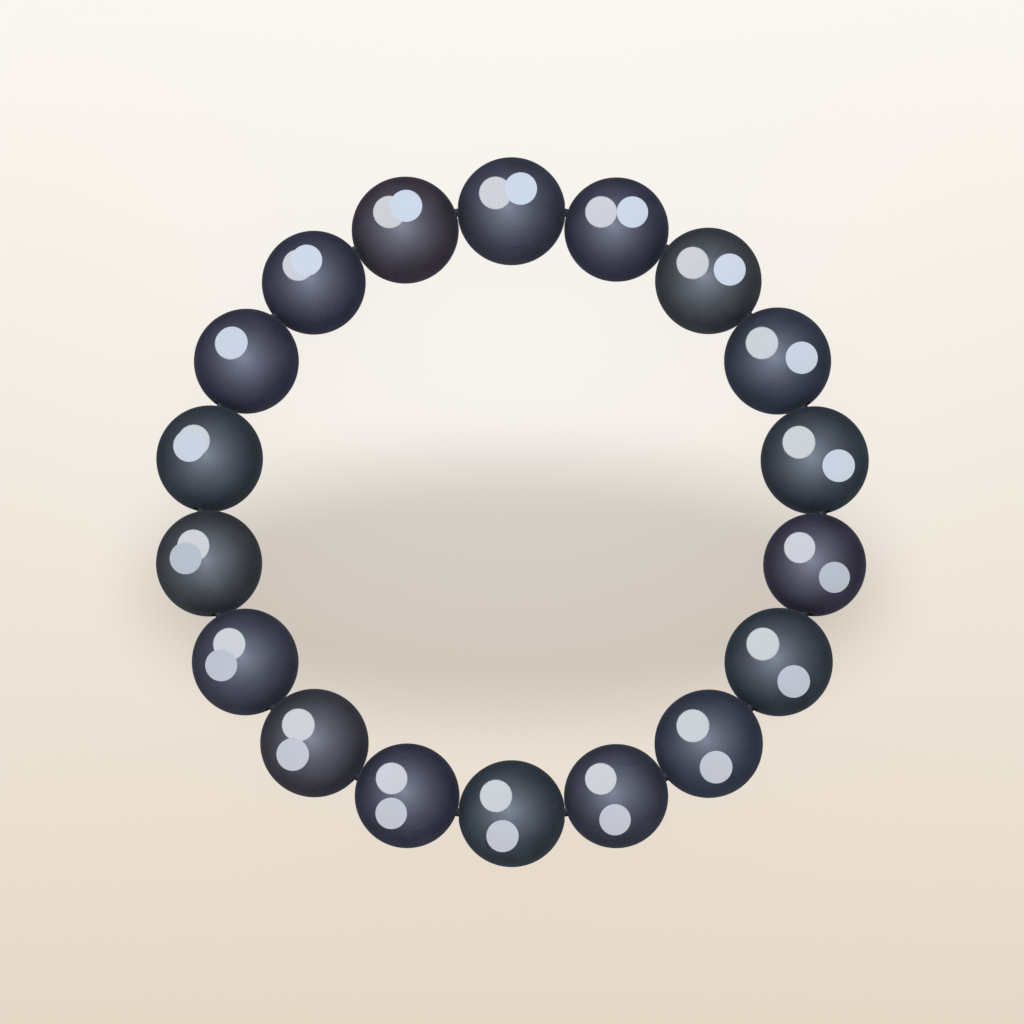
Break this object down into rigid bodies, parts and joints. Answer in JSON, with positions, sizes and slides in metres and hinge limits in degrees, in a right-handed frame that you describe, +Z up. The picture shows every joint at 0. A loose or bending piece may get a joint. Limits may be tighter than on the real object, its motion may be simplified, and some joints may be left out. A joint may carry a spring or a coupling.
{
  "type": "beaded labradorite bracelet",
  "caption": "Stretch bracelet of round polished dark stone beads on an elastic thread, lying flat as a closed ring.",
  "frame": {"origin": "on the surface the bracelet lies on, under the middle of its outline", "axes": "+Z up, through the hollow for the wrist; +Y towards the first bead; +X to the right of it, seen from above"},
  "size_m": [0.067, 0.068, 0.0102],
  "materials": {
    "labradorite_slate": "polished",
    "labradorite_indigo": "polished",
    "labradorite_navy": "polished",
    "labradorite_violet": "polished",
    "labradorite_teal": "polished",
    "labradorite_moss": "polished",
    "labradorite_grey": "polished",
    "labradorite_plum": "polished",
    "elastic_thread": "satin"
  },
  "bodies": {
    "root": {"bead_01": "labradorite_slate", "bead_02": "labradorite_indigo", "bead_03": "labradorite_moss", "bead_04": "labradorite_navy", "bead_05": "labradorite_teal", "bead_06": "labradorite_violet", "bead_07": "labradorite_teal", "bead_08": "labradorite_navy", "bead_09": "labradorite_slate", "bead_10": "labradorite_teal", "bead_11": "labradorite_indigo", "bead_12": "labradorite_grey", "bead_13": "labradorite_slate", "bead_14": "labradorite_moss", "bead_15": "labradorite_teal", "bead_16": "labradorite_indigo", "bead_17": "labradorite_indigo", "bead_18": "labradorite_plum", "stretch_thread": "elastic_thread"}
  },
  "joints": []
}
